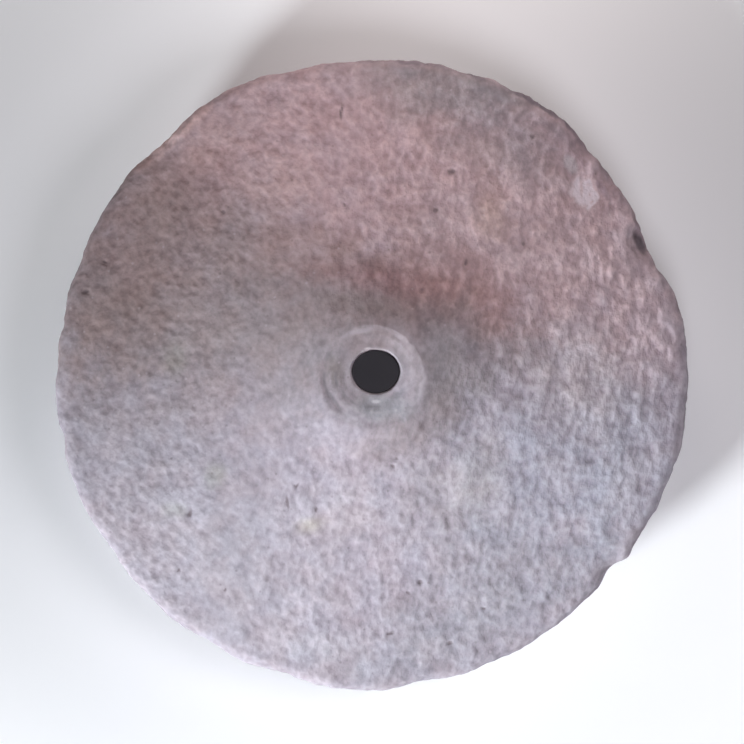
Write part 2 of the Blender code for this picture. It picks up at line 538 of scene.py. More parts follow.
@dataclass(frozen=True)
class Peck:
    """One scale of relief: how far apart its marks are, how deep, and where its pattern starts."""

    spacing: float
    depth: float
    shift: float
    bottom_share: ClassVar[float] = 0.08
    ridge_share: ClassVar[float] = 0.72

    def spots(self, points: Values) -> list[list[float]]:
        """Places in the pattern that belong to points of the stone."""
        return (points / self.spacing + self.shift).tolist()

    def wavy(self, points: Values) -> Values:
        """Soft noise at points, from about -1 to 1."""
        return np.array([noise.noise(spot) for spot in self.spots(points)])

    def pecked(self, points: Values) -> Values:
        """Overlapping round pecks at points, 1 at the bottom of one and 0 on the ridges."""
        nearest = np.array([noise.voronoi(spot)[0][0] for spot in self.spots(points)])
        return 1.0 - smooth_step(self.bottom_share, self.ridge_share, nearest)


@dataclass(frozen=True)
class Patchiness:
    """How unevenly something is left: its usual share, its least, and the noise added to it."""

    usual: float
    least: float
    stray: Peck

    def share(self, points: Values) -> Values:
        """Share that is left at points, from the least to 1."""
        stray = self.stray.depth * self.stray.wavy(points)
        return np.clip(self.usual + stray, self.least, 1.0)


@dataclass(frozen=True)
class Pit:
    """A single dark pit, scratch or struck mark, placed from the middle of the rim."""

    x: float
    y: float
    half_length: float
    half_width: float
    turn_deg: float
    depth: float
    reach: ClassVar[float] = 1.5

    def share(self, x: Values, y: Values) -> Values:
        """Work out how far each place lies within the mark.

        Args:
            x: Places from the middle of the rim.
            y: Places from the middle of the rim.

        Returns:
            1 at the bottom of the mark, falling to 0 outside it.
        """
        along, across = turned(x - self.x, y - self.y, self.turn_deg)
        spread = np.hypot(along / self.half_length, across / self.half_width)
        return 1.0 - smooth_step(0.0, self.reach, spread)


@dataclass(frozen=True)
class Band:
    """A groove or a pale band that runs part of the way round the dish, for painted shade in the grooves and
    for rubbed wear with painted light on the bands.
    """

    radius: float
    half_width: float
    depth: float
    towards_deg: float
    half_turn_deg: float
    x: float = -0.0017
    y: float = -0.0001
    even_share: ClassVar[float] = 0.35

    def share(self, x: Values, y: Values) -> Values:
        """Work out how far each place lies within the band.

        Args:
            x: Places from the middle of the rim.
            y: Places from the middle of the rim.

        Returns:
            1 along the middle of the band, falling to 0 beside it and at its ends.
        """
        across = np.abs(np.hypot(x - self.x, y - self.y) - self.radius) / self.half_width
        angle = np.degrees(np.arctan2(y - self.y, x - self.x))
        turn = np.abs(turn_from(self.towards_deg, angle)) / self.half_turn_deg
        return (1.0 - smooth_step(0.0, 1.0, across)) * (1.0 - smooth_step(self.even_share, 1.0, turn))


@dataclass(frozen=True)
class Flake:
    """A flat scar where a flake has come off.

    Each of its straight sides has a direction in degrees, a distance and a softness.
    """

    x: float
    y: float
    depth: float
    sides: tuple[tuple[float, float, float], ...]

    def share(self, x: Values, y: Values) -> Values:
        """Work out which places lie within the scar.

        Args:
            x: Places from the middle of the rim.
            y: Places from the middle of the rim.

        Returns:
            1 inside the scar and 0 outside it.
        """
        past = np.full(x.shape, -1.0)
        for direction_deg, distance, softness in self.sides:
            outwards, _ = turned(x - self.x, y - self.y, direction_deg)
            past = np.maximum(past, (outwards - distance) / softness)
        return 1.0 - smooth_step(-1.0, 1.0, past)


@dataclass(frozen=True)
class Strokes:
    """The two ways that the tool's marks run, and where one gives way to the other."""

    main_deg: float = 78.0
    other_deg: float = 146.0
    stretch: float = 1.42
    other_stretch: float = 1.10
    towards_deg: float = 165.0
    change_from: float = 0.010
    change_to: float = 0.110

    def ways(self) -> tuple[tuple[float, float], ...]:
        """Direction and stretch of both ways."""
        return (self.main_deg, self.stretch), (self.other_deg, self.other_stretch)

    def drawn_out(self, points: Values, turn_deg: float, stretch: float) -> Values:
        """Press points together along a stroke, so that marks come out longer.

        Args:
            points: Places, one row each.
            turn_deg: Direction of the stroke.
            stretch: How much longer the marks come out.

        Returns:
            The places to sample the marks at.
        """
        along, across = turned(points[:, 0], points[:, 1], turn_deg)
        return np.stack([along / stretch, across, points[:, 2]], axis=1)

    def other_share(self, points: Values) -> Values:
        """Find how far the other direction has taken over.

        Args:
            points: Places, one row each.

        Returns:
            0 where the marks run the main way and 1 where they run the other way.
        """
        along, _ = turned(points[:, 0], points[:, 1], self.towards_deg)
        return smooth_step(self.change_from, self.change_to, along)


@dataclass(frozen=True)
class PeckedSurface:
    """The relief that pecking, weather and use have left on the stone."""

    bumps: tuple[Peck, ...] = (
        Peck(0.0150, 0.00058, 3.1),
        Peck(0.0072, 0.00047, 11.7),
        Peck(0.0038, 0.00022, 23.9),
    )
    pecks: tuple[Peck, ...] = (Peck(0.0066, 0.00050, 5.3), Peck(0.0044, 0.00040, 17.9))
    strokes: Strokes = Strokes()
    base_depth: float = 0.00030
    swell: Peck = Peck(0.060, 0.00025, 41.3)
    hewing: tuple[Peck, ...] = (Peck(0.036, 0.0018, 51.7), Peck(0.015, 0.0008, 67.1))
    hewing_base: float = 0.6
    underside_hewing: float = 0.35
    nibbles: tuple[Peck, ...] = (Peck(0.0120, 0.0009, 71.9), Peck(0.0050, 0.0005, 83.3))
    ragged: tuple[Peck, ...] = (Peck(0.0075, 0.0022, 31.3), Peck(0.0030, 0.0009, 61.9))
    ragged_apart: float = 0.5
    patchy: Patchiness = Patchiness(0.80, 0.15, Peck(0.0080, 1.30, 13.1))
    crumbly: Patchiness = Patchiness(0.90, 0.30, Peck(0.0028, 1.10, 77.1))
    # Grooves of the dish; the dark wash laid in them is painted shade.
    grooves: tuple[Band, ...] = (
        Band(0.0298, 0.0028, 0.0005, 196.0, 60.0),
        Band(0.0214, 0.0022, 0.0005, 245.0, 110.0),
    )
    # Colour-only bands of rubbed wear with painted light; the outer one, towards 20 degrees, is painted light
    # on the crest.
    ridges: tuple[Band, ...] = (
        Band(0.0256, 0.0021, 0.0, 230.0, 80.0),
        Band(0.0298, 0.0032, 0.0, 80.0, 70.0, -0.0004, -0.0014),
        Band(0.0342, 0.0044, 0.0, 20.0, 80.0, -0.0004, -0.0014),
    )
    scar: Flake = Flake(
        0.1418, 0.1197, 0.0006,
        (
            (90.0, 0.0096, 0.0020),
            (30.0, 0.0064, 0.0008),
            (308.0, 0.0090, 0.0010),
            (238.0, 0.0096, 0.0014),
            (207.0, 0.0092, 0.0026),
            (165.0, 0.0104, 0.0030),
        ),
    )
    worn_share: float = 0.40
    worn_to: float = 0.028
    rough_from: float = 0.064
    underside_share: float = 1.3
    keener: tuple[tuple[float, float], ...] = ((42.0, 0.56), (157.0, -0.22))
    keener_focus: int = 3
    pits: tuple[Pit, ...] = (
        Pit(-0.1918, 0.0536, 0.0034, 0.0026, 30.0, 0.0016),
        Pit(-0.1763, 0.0734, 0.0020, 0.0018, 0.0, 0.0011),
        Pit(0.0318, -0.1380, 0.0026, 0.0021, 50.0, 0.0014),
        Pit(0.0246, -0.1461, 0.0021, 0.0017, 0.0, 0.0009),
        Pit(0.0514, -0.1791, 0.0021, 0.0019, 0.0, 0.0013),
        Pit(0.0112, -0.1718, 0.0034, 0.0020, 20.0, 0.0013),
        Pit(0.0727, -0.1559, 0.0022, 0.0018, 0.0, 0.0012),
        Pit(-0.0967, -0.1432, 0.0020, 0.0017, 0.0, 0.0010),
        Pit(-0.1276, -0.1305, 0.0020, 0.0018, 0.0, 0.0009),
        Pit(-0.1206, -0.0918, 0.0032, 0.0019, 70.0, 0.0010),
        Pit(-0.0487, -0.0734, 0.0042, 0.0015, 48.0, 0.0011),
        Pit(-0.0552, -0.0847, 0.0064, 0.0014, 95.0, 0.0009),
        Pit(-0.0374, -0.0892, 0.0030, 0.0015, 80.0, 0.0008),
        Pit(0.0139, -0.0605, 0.0020, 0.0017, 0.0, 0.0009),
        Pit(0.0164, -0.0548, 0.0019, 0.0016, 0.0, 0.0008),
        Pit(0.0618, 0.0725, 0.0024, 0.0019, 60.0, 0.0010),
        Pit(0.0985, 0.0847, 0.0021, 0.0017, 30.0, 0.0009),
        Pit(0.0509, 0.1319, 0.0030, 0.0022, 150.0, 0.0011),
        Pit(0.1054, 0.1567, 0.0020, 0.0017, 0.0, 0.0009),
        Pit(0.0421, 0.1051, 0.0022, 0.0018, 0.0, 0.0009),
        Pit(-0.0193, 0.1096, 0.0023, 0.0018, 20.0, 0.0009),
        Pit(-0.0982, 0.1056, 0.0023, 0.0018, 0.0, 0.0009),
        Pit(-0.0201, 0.1735, 0.0066, 0.0018, 90.0, 0.0005),
    )

    def rolling(self, points: Values, pecks: Sequence[Peck]) -> Values:
        """Soft ups and downs of several sizes together, in metres."""
        return sum(peck.depth * peck.wavy(points) for peck in pecks)

    def marks(self, points: Values) -> Values:
        """Add up the bumps and pecks of every size.

        Args:
            points: Places, one row each, already drawn out along a stroke.

        Returns:
            Depth in metres.
        """
        bumps = self.rolling(points, self.bumps)
        return self.base_depth + bumps + sum(peck.depth * peck.pecked(points) for peck in self.pecks)

    def nibbled(self, angle_deg: Values, radius: float) -> Values:
        """Find the small losses all along the rim.

        Args:
            angle_deg: Directions round the stone.
            radius: Radius of the rim.

        Returns:
            Radial loss in metres, never negative.
        """
        angle = np.radians(angle_deg)
        ring = np.stack([np.cos(angle), np.sin(angle), np.zeros_like(angle)], axis=1) * radius
        return np.maximum(self.rolling(ring, self.nibbles), 0.0)

    def keenness(self, radius: Values, angle_deg: Values, zone: Values) -> Values:
        """Find how keen the tool's marks still are.

        Args:
            radius: Each point's distance from the axis.
            angle_deg: Each point's direction from the axis.
            zone: Each point's zone number.

        Returns:
            1 on the unworn face, less beside the hole, more on the side and below.
        """
        kept = smooth_step(self.worn_to, self.rough_from, radius)
        worn = self.worn_share + (1.0 - self.worn_share) * kept
        for direction_deg, extra in self.keener:
            facing = np.maximum(np.cos(np.radians(angle_deg - direction_deg)), 0.0)
            worn = worn * (1.0 + extra * kept * facing ** self.keener_focus)
        used = (zone == Zone.FACE.value) | (zone == Zone.BORE.value)
        return np.where(used, worn, self.underside_share)

    def pecking(self, points: Values, keenness: Values) -> Values:
        """Find how deep the tool's marks are, shallower where the stone is worn.

        Args:
            points: Places on the carved form.
            keenness: How keen the marks still are at each point.

        Returns:
            Depth in metres, never negative.
        """
        strokes = self.strokes
        main, other = (self.marks(strokes.drawn_out(points, *way)) for way in strokes.ways())
        relief = main + (other - main) * strokes.other_share(points)
        return np.maximum(relief, 0.0) * keenness

    def single_marks(self, x: Values, y: Values) -> tuple[dict[Layer, Values], Values]:
        """Find where the pits, the bands of the dish and the scar lie, and how deep.

        Args:
            x: Places from the middle of the rim.
            y: Places from the middle of the rim.

        Returns:
            A share from 0 to 1 for each place by kind of mark, and the depth in metres.
        """
        points = np.stack([x, y, np.zeros_like(x)], axis=1)
        spot_x = x + self.rolling(points, self.ragged)
        spot_y = y + self.rolling(points + self.ragged_apart, self.ragged)
        kept = self.patchy.share(points)
        kinds = {
            Layer.MARK: (self.pits, 1.0),
            Layer.GROOVE_SHADE: (self.grooves, kept),
            Layer.RUBBED_AND_LIT: (self.ridges, kept),
            Layer.SCAR: ((self.scar,), self.crumbly.share(points)),
        }
        shares = {}
        depth = np.zeros_like(x)
        for layer, (marks, evenness) in kinds.items():
            found = [mark.share(spot_x, spot_y) * evenness for mark in marks]
            shares[layer] = np.max(found, axis=0)
            depth += sum(mark.depth * share for mark, share in zip(marks, found))
        return shares, depth

    def hewn(self, points: Values, zone: Values) -> Values:
        """Find how far the stone is hewn or swells below its form.

        Args:
            points: Places on the carved form.
            zone: Each point's zone number.

        Returns:
            Depth in metres, never negative.
        """
        rough = sum(peck.depth * (self.hewing_base + peck.wavy(points)) for peck in self.hewing)
        rough = np.maximum(rough, 0.0)
        swell = self.swell.depth * (1.0 + self.swell.wavy(points))
        depths = {Zone.SIDE: rough, Zone.UNDERSIDE: self.underside_hewing * rough, Zone.FACE: swell}
        return np.select([zone == kind.value for kind in depths], list(depths.values()), 0.0)


@dataclass
class LowerStone:
    """The bedstone: one carved piece, from its collar to its underside."""

    form: StoneForm = field(default_factory=StoneForm)
    surface: PeckedSurface = field(default_factory=PeckedSurface)
    name: str = "pecked_stone"
    nibbles_inset: float = 0.015
    nibbles_from_height: float = 0.012
    scar_smoothing: float = 0.5
    # Painted shade with dirt on the rim's rounding and on the side.
    edge_shade_insets: tuple[float, float] = (0.0060, 0.0012)
    edge_shade_side_deg: float = 56.0
    edge_shade_focus: int = 6
    edge_shade_patches: Patchiness = Patchiness(0.75, 0.0, Peck(0.014, 1.0, 7.7))
    side_shade_and_grime: float = 0.55

    def carved_points(self, skin: RingSkin) -> Values:
        """Place the skin's points on the worn and broken form.

        Args:
            skin: The rings' points and faces.

        Returns:
            The points, one row each.
        """
        form = self.form
        nibbled = self.surface.nibbled(np.degrees(skin.turn), form.rim_radius)
        near_rim = smooth_step(form.rim_radius - self.nibbles_inset, form.rim_radius, skin.radius)
        share_up = smooth_step(self.nibbles_from_height, form.widest_height, skin.height)
        radius = skin.radius - nibbled * near_rim * share_up
        x, y = radius * np.cos(skin.turn), radius * np.sin(skin.turn)
        return form.worn_place(x, y, skin.height, skin.on(Zone.FACE))

    def edge_shade_and_grime(self, skin: RingSkin, points: Values) -> Values:
        """Find how dark the painted shade and dirt lie on the side and on the rounding of the rim, most on
        the rounding that faces the upper right.

        Args:
            skin: The rings' points and faces.
            points: The points on the worn form, one row each.

        Returns:
            A share from 0 to 1 for each point.
        """
        start, end = (self.form.rim_radius - inset for inset in self.edge_shade_insets)
        edge = np.where(skin.on(Zone.SIDE), 1.0, smooth_step(start, end, skin.radius))
        facing = 0.5 + 0.5 * np.cos(skin.turn - math.radians(self.edge_shade_side_deg))
        on_top = facing ** self.edge_shade_focus * self.edge_shade_patches.share(points)
        return edge * np.where(skin.on(Zone.FACE), on_top, self.side_shade_and_grime) * ~skin.on(Zone.BORE)

    def relief(self, skin: RingSkin, points: Values) -> tuple[Values, dict[Layer, Values]]:
        """Find how far the surface lies below the carved form, and what marks it there.

        Args:
            skin: The rings' points and faces.
            points: The points on the worn form, one row each.

        Returns:
            Depth in metres for each point, and the values of each layer. Those of the
            pecking are in millimetres, and the others are shares.
        """
        on_top = skin.on(Zone.FACE)
        keenness = self.surface.keenness(skin.radius, np.degrees(skin.turn), skin.zone)
        pecking = self.surface.pecking(points, keenness)
        x, y = (points[:, axis] - self.form.rim_centre[axis] for axis in (0, 1))
        shares, sunk = self.surface.single_marks(x, y)
        shares = {layer: share * on_top for layer, share in shares.items()}
        depth = pecking * (1.0 - self.scar_smoothing * shares[Layer.SCAR]) + sunk * on_top
        depth += self.surface.hewn(points, skin.zone)
        shares[Layer.PECKING] = pecking * (1.0 - shares[Layer.SCAR]) / MM
        shares[Layer.SHADE_AND_GRIME] = self.edge_shade_and_grime(skin, points)
        shares[Layer.KEENNESS] = keenness
        return depth, shares

    def build(self) -> bpy.types.Object:
        """Make the stone's fine mesh.

        Returns:
            The new object, closed and in place.
        """
        skin = RingSkin(RingPlan(self.form).rings())
        points = self.carved_points(skin)
        mesh = bpy.data.meshes.new(self.name)
        mesh.from_pydata(points.tolist(), [], skin.faces())
        mesh.update()
        normals = np.empty(points.size)
        mesh.vertex_normals.foreach_get("vector", normals)
        depth, shares = self.relief(skin, points)
        points = points - normals.reshape(-1, 3) * depth[:, None]
        points[:, 2] = np.maximum(points[:, 2], 0.0)
        mesh.vertices.foreach_set("co", points.ravel())
        for layer, values in shares.items():
            stored = mesh.attributes.new(layer.value, "FLOAT", "POINT")
            stored.data.foreach_set("value", values.astype(np.float32))
        mesh.update()
        mesh.shade_smooth()
        stone = bpy.data.objects.new(self.name, mesh)
        bpy.context.scene.collection.objects.link(stone)
        return stone

    def place(self, stone: bpy.types.Object) -> None:
        """Let the fine stone stand for the solid and ride on its body.

        Args:
            stone: The fine stone.
        """
        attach(stone, "root")
        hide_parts(STONE_NODE)


@dataclass(frozen=True)
class Cloud:
    """Soft noise: patches in a metre, finer layers, their strength, and where it is eased."""

    scale: float
    detail: float
    roughness: float = 0.5
    low: float = 0.0
    high: float = 1.0


class NodeDesk:
    """Adds and joins the nodes of one tree."""

    def __init__(self, tree: bpy.types.NodeTree) -> None:
        """Take a tree to work on.

        Args:
            tree: A material's or a group's node tree.
        """
        self.tree = tree

    @classmethod
    def for_group(cls, name: str, takes: dict[str, str], gives: Sequence[str]) -> "NodeDesk":
        """Start a node group.

        Args:
            name: The group's name.
            takes: Names of its inputs, each with its kind of socket.
            gives: Names of its outputs, which are all numbers.

        Returns:
            A desk for the new group's tree.
        """
        tree = bpy.data.node_groups.new(name, "ShaderNodeTree")
        for label, kind in takes.items():
            tree.interface.new_socket(label, in_out="INPUT", socket_type="NodeSocket" + kind)
        for label in gives:
            tree.interface.new_socket(label, in_out="OUTPUT", socket_type="NodeSocketFloat")
        return cls(tree)

    def add(self, kind: str, inputs: dict | None = None, **settings: object) -> bpy.types.Node:
        """Add a node, set its options and fill or link its inputs.

        Args:
            kind: The node's type without its ShaderNode start.
            inputs: Input names or numbers with a value or a socket each.
            **settings: Options of the node.

        Returns:
            The new node.
        """
        node = self.tree.nodes.new(kind if kind.startswith("Node") else "ShaderNode" + kind)
        for option, value in settings.items():
            setattr(node, option, value)
        for key, value in (inputs or {}).items():
            if isinstance(value, bpy.types.NodeSocket):
                self.tree.links.new(value, node.inputs[key])
            else:
                node.inputs[key].default_value = value
        return node

    def math(self, operation: str, first: object, second: object = 0.0) -> Socket:
        """Result of one sum on numbers or sockets."""
        node = self.add("Math", {0: first, 1: second}, operation=operation)
        return node.outputs[0]

    def ramp(self, value: Socket, low: float, high: float, start: float, end: float) -> Socket:
        """Eased remap of a value from low..high to start..end.

        Args:
            value: The socket to read.
            low: Where the ramp starts.
            high: Where the ramp ends.
            start: Result at and before low.
            end: Result at and after high.

        Returns:
            The remapped value.
        """
        limits = {"Value": value, "From Min": low, "From Max": high, "To Min": start, "To Max": end}
        node = self.add("MapRange", limits, interpolation_type="SMOOTHSTEP")
        return node.outputs["Result"]

    def cloud(self, place: Socket, cloud: Cloud) -> Socket:
        """Soft noise at a place, as it comes."""
        layers = {"Detail": cloud.detail, "Roughness": cloud.roughness}
        return self.add("TexNoise", {"Vector": place, "Scale": cloud.scale, **layers}).outputs["Fac"]

    def layer(self, layer: Layer) -> Socket:
        """Values that the mesh's points hold in one layer."""
        return self.add("Attribute", attribute_name=layer.value).outputs["Fac"]

    def eased_cloud(self, place: Socket, cloud: Cloud) -> Socket:
        """Soft noise at a place, eased to fill 0 to 1."""
        return self.ramp(self.cloud(place, cloud), cloud.low, cloud.high, 0.0, 1.0)

    def blend(self, share: object, first: object, second: object, how: str = "MIX") -> Socket:
        """Blend of two colours.

        Args:
            share: How much of the second colour.
            first: The colour underneath.
            second: The colour laid on.
            how: Blender's name of the blend.

        Returns:
            The blended colour.
        """
        node = self.add("Mix", data_type="RGBA", blend_type=how)
        for name, value in (("Factor_Float", share), ("A_Color", first), ("B_Color", second)):
            socket = next(s for s in node.inputs if s.identifier == name)
            if isinstance(value, bpy.types.NodeSocket):
                self.tree.links.new(value, socket)
            else:
                socket.default_value = value if name == "Factor_Float" else (*value, 1.0)
        return next(s for s in node.outputs if s.identifier == "Result_Color")


@dataclass(frozen=True)
class Stain:
    """A soft patch of another colour, placed from the middle of the rim and turned."""

    what: str
    x: float
    y: float
    half_length: float
    half_width: float
    turn_deg: float
    strength: float
    colour: Colour
    softness: float = 1.0

    def placing(self, centre: tuple[float, float]) -> dict[str, object]:
        """Work out what the soft patch's sockets are set to.

        Args:
            centre: The middle of the rim.

        Returns:
            A value for each socket that differs from stain to stain.
        """
        return {
            "Centre": (self.x + centre[0], self.y + centre[1], 0.0),
            "Turn": (0.0, 0.0, math.radians(self.turn_deg)),
            "Size": (self.half_length, self.half_width, 1.0),
            "Softness": self.softness,
        }


# Patches of colour: the stone's own stains, and with them painted shade and painted light that set how dark
# or light each part comes out under these lamps; the patches named painted are mostly that.
STAINS: tuple[Stain, ...] = (
    Stain("rosy upper face", 0.020, 0.160, 0.320, 0.185, 0.0, 0.75, (0.520, 0.352, 0.362)),
    Stain("blue cast, lower right", 0.110, -0.056, 0.110, 0.092, 0.0, 0.62, (0.362, 0.373, 0.424)),
    Stain("pale lower left", -0.106, -0.114, 0.124, 0.080, -42.0, 0.64, (0.408, 0.381, 0.418)),
    Stain("dull left of the lower face", -0.096, -0.064, 0.044, 0.026, -20.0, 0.34, (0.300, 0.268, 0.300)),
    # Painted shade in brown, darkening the left where the key lamp would light it.
    Stain("painted brown shade, left", -0.100, 0.030, 0.140, 0.062, 6.0, 0.76, (0.268, 0.230, 0.230)),
    Stain("dull left rim", -0.150, -0.038, 0.070, 0.046, 0.0, 0.34, (0.290, 0.265, 0.285)),
    Stain("dull round the collar", -0.004, 0.014, 0.072, 0.062, 0.0, 0.45, (0.275, 0.250, 0.262)),
    # Painted shade in brown over the upper left, which neither lamp reaches.
    Stain("painted brown shade, upper left", -0.126, 0.106, 0.110, 0.040, -25.0, 0.75, (0.250, 0.203, 0.200)),
    Stain("painted brown shade, left rim", -0.166, 0.052, 0.074, 0.048, 70.0, 0.88, (0.262, 0.196, 0.188)),
    # Painted shade: the dark band over the collar, where neither the key nor the fill lamp reaches.
    Stain("grey-brown painted shade band over the collar", 0.008, 0.052, 0.090, 0.024, -8.0, 0.85, (0.262, 0.205, 0.208)),
    Stain("brown painted shade over the collar", 0.002, 0.066, 0.110, 0.020, -20.0, 0.45, (0.288, 0.196, 0.188)),
    Stain("olive painted shade over the collar", -0.0081, 0.0452, 0.040, 0.011, -5.0, 0.55, (0.225, 0.188, 0.188)),
    Stain("rose-brown painted shade over the band", 0.014, 0.060, 0.066, 0.013, -8.0, 0.60, (0.330, 0.198, 0.204)),
    Stain("dull below the collar", 0.000, -0.049, 0.024, 0.008, 0.0, 0.36, (0.285, 0.245, 0.262)),
    Stain("dull left of the collar", -0.048, -0.016, 0.042, 0.034, 40.0, 0.42, (0.270, 0.245, 0.262)),
    Stain("grey beyond the collar's painted shadow", 0.092, 0.018, 0.036, 0.024, 0.0, 0.45, (0.270, 0.250, 0.245)),
    Stain("pale at the right", 0.142, 0.000, 0.044, 0.046, 90.0, 0.62, (0.460, 0.428, 0.446)),
    Stain("pale by the lower right rim", 0.158, -0.076, 0.064, 0.024, 72.0, 0.36, (0.405, 0.425, 0.478)),
    # Painted shade on the collar's flank, turned away from the key lamp.
    Stain("grey painted shade right of the collar", 0.0742, -0.0032, 0.018, 0.011, 60.0, 0.50, (0.265, 0.245, 0.255)),
    Stain("pale below the collar", -0.014, -0.090, 0.036, 0.024, 0.0, 0.50, (0.460, 0.420, 0.450)),
    Stain("dull brown below the collar", 0.032, -0.076, 0.028, 0.018, 60.0, 0.36, (0.300, 0.250, 0.245)),
    Stain("dusky, upper right", 0.075, 0.148, 0.075, 0.022, -22.0, 0.40, (0.290, 0.252, 0.262)),
    Stain("rose over the band", 0.036, 0.092, 0.034, 0.018, -10.0, 0.55, (0.490, 0.365, 0.370)),
    Stain("pale rose, upper right", 0.090, 0.080, 0.105, 0.050, -20.0, 0.50, (0.500, 0.388, 0.402)),
    # Painted light, lifting the upper right where the deeper relief darkens it.
    Stain("painted light over the upper right", 0.098, 0.092, 0.110, 0.070, -48.0, 0.37, (0.555, 0.420, 0.420)),
    # Painted shade in brown at the upper left rim.
    Stain("painted brown shade at the upper left rim", -0.150, 0.088, 0.050, 0.026, 54.0, 0.50, (0.245, 0.198, 0.194)),
    Stain("rose at the upper left rim", -0.128, 0.116, 0.078, 0.036, 46.0, 0.68, (0.385, 0.258, 0.258)),
    Stain("pale rose, upper left", -0.058, 0.122, 0.030, 0.026, 0.0, 0.46, (0.505, 0.358, 0.346)),
    # Painted shade at the upper left rim.
    Stain("painted dull shade at the upper left rim", -0.140, 0.100, 0.040, 0.030, 60.0, 0.62, (0.262, 0.208, 0.205)),
    Stain("rose at the top left", -0.105, 0.153, 0.032, 0.016, 35.0, 0.40, (0.500, 0.360, 0.358)),
    Stain("rose left of the middle", -0.048, 0.084, 0.044, 0.022, 0.0, 0.30, (0.420, 0.285, 0.272)),
    Stain("dull lower left", -0.090, -0.120, 0.046, 0.023, 90.0, 0.36, (0.300, 0.275, 0.300)),
    Stain("pale at the bottom rim", -0.034, -0.182, 0.026, 0.012, 0.0, 0.50, (0.480, 0.465, 0.505)),
    # Painted light on the rim's rounding, where it turns away from the key lamp.
    Stain("painted light on the edge, upper left", -0.133, 0.1565, 0.040, 0.0066, 40.0, 0.90, (0.640, 0.460, 0.450), 0.80),
    # Painted shade in brown on the left edge.
    Stain("painted brown shade on the left edge", -0.188, 0.068, 0.042, 0.013, 71.0, 0.45, (0.240, 0.180, 0.176)),
    # Painted shade on the rim's rounding where it turns away from the key lamp.
    Stain("painted shade on the edge, upper right", 0.130, 0.1545, 0.034, 0.006, 140.0, 0.36, (0.160, 0.130, 0.145), 0.80),
    Stain("painted shade on the edge, upper right", 0.0825, 0.186, 0.030, 0.006, 156.0, 0.42, (0.170, 0.140, 0.155), 0.80),
    Stain("painted shade on the edge at the top", 0.027, 0.200, 0.030, 0.006, 172.0, 0.38, (0.180, 0.150, 0.165), 0.80),
    # Painted light, lifting the groove's own shade.
    Stain("painted light by the groove", -0.0146, -0.0296, 0.015, 0.0036, 155.0, 0.55, (0.520, 0.490, 0.530), 0.70),
    Stain("grey at the top rim", 0.050, 0.188, 0.085, 0.026, -10.0, 0.60, (0.250, 0.256, 0.268)),
    Stain("grey at the upper right rim", 0.096, 0.156, 0.046, 0.028, -34.0, 0.48, (0.285, 0.262, 0.290)),
    Stain("rose at the right rim", 0.174, 0.046, 0.050, 0.036, 100.0, 0.72, (0.520, 0.402, 0.416)),
    # Painted shadow that the collar casts to its right and upper right, away from the key lamp.
    Stain("red-brown painted shadow beside the collar", 0.062, 0.050, 0.056, 0.028, -25.0, 0.60, (0.384, 0.236, 0.224)),
    Stain("painted shadow right of the collar", 0.048, 0.002, 0.050, 0.030, 80.0, 0.80, (0.250, 0.228, 0.234)),
    Stain("warm grey below the collar", 0.026, -0.037, 0.036, 0.020, 30.0, 0.76, (0.268, 0.230, 0.238)),
    Stain("grey, lower right", 0.070, -0.120, 0.050, 0.040, 40.0, 0.30, (0.270, 0.270, 0.290)),
    Stain("blue-grey, lower right rim", 0.062, -0.166, 0.110, 0.034, 22.0, 0.44, (0.280, 0.290, 0.318)),
    Stain("cream below the collar", 0.066, -0.070, 0.032, 0.022, 60.0, 0.36, (0.440, 0.398, 0.365)),
    Stain("cream speckle", -0.041, -0.0995, 0.012, 0.007, 10.0, 0.55, (0.480, 0.440, 0.370)),
    Stain("olive speckle", -0.103, -0.067, 0.012, 0.008, 60.0, 0.38, (0.345, 0.350, 0.295)),
    Stain("olive speckle", -0.130, -0.090, 0.010, 0.006, 0.0, 0.35, (0.350, 0.350, 0.300)),
    Stain("olive speckle", -0.129, 0.010, 0.010, 0.014, 0.0, 0.35, (0.300, 0.300, 0.260)),
    Stain("peach at the upper right", 0.077, 0.104, 0.022, 0.013, 100.0, 0.36, (0.560, 0.425, 0.372)),
    Stain("dull brown dish", -0.004, 0.004, 0.040, 0.038, 0.0, 0.80, (0.300, 0.270, 0.290), 0.40),
    Stain("brown in the dish", -0.004, 0.020, 0.025, 0.012, 10.0, 0.84, (0.235, 0.192, 0.200), 0.80),
    Stain("grey-blue lower dish", 0.006, -0.022, 0.026, 0.013, 0.0, 0.70, (0.300, 0.306, 0.325), 0.60),
    Stain("olive left of the hole", -0.0248, 0.002, 0.016, 0.0064, 97.0, 0.70, (0.222, 0.198, 0.197), 0.80),
    Stain("grey by the hole", 0.0164, -0.0141, 0.010, 0.0038, 45.0, 0.60, (0.240, 0.230, 0.250), 0.60),
    # Painted shade on the dish right of the hole.
    Stain("painted shade right of the hole", 0.0196, 0.0112, 0.015, 0.0054, 118.0, 0.60, (0.262, 0.226, 0.238), 0.70),
    Stain("pale lip below the hole", 0.0023, -0.0183, 0.004, 0.0016, 0.0, 0.60, (0.560, 0.540, 0.560), 0.60),
    # Painted highlight on the lip of the hole that faces the key lamp.
    Stain("painted highlight on the lip over the hole", -0.003, 0.0158, 0.0036, 0.0013, 8.0, 0.50, (0.600, 0.525, 0.540), 0.60),
    Stain("brown over the hole", 0.0061, 0.0185, 0.0095, 0.0036, -20.0, 0.65, (0.235, 0.195, 0.205), 0.70),
    Stain("older scar", 0.1312, 0.1382, 0.0095, 0.0062, 118.0, 0.80, (0.500, 0.450, 0.470), 0.45),
    Stain("dull beside the scar", 0.1516, 0.1228, 0.0105, 0.0036, 122.0, 0.50, (0.240, 0.192, 0.232), 0.60),
    # Painted shade in the hollow of the broken notch.
    Stain("painted shade in the notch", 0.1774, 0.0864, 0.0128, 0.0046, 116.0, 0.78, (0.074, 0.058, 0.066), 0.50),
)


@dataclass(frozen=True)
class Wash:
    """Colour laid on where one layer of the mesh rises from a low share to a high one."""

    layer: Layer
    low: float
    high: float
    strength: float
    colour: Colour


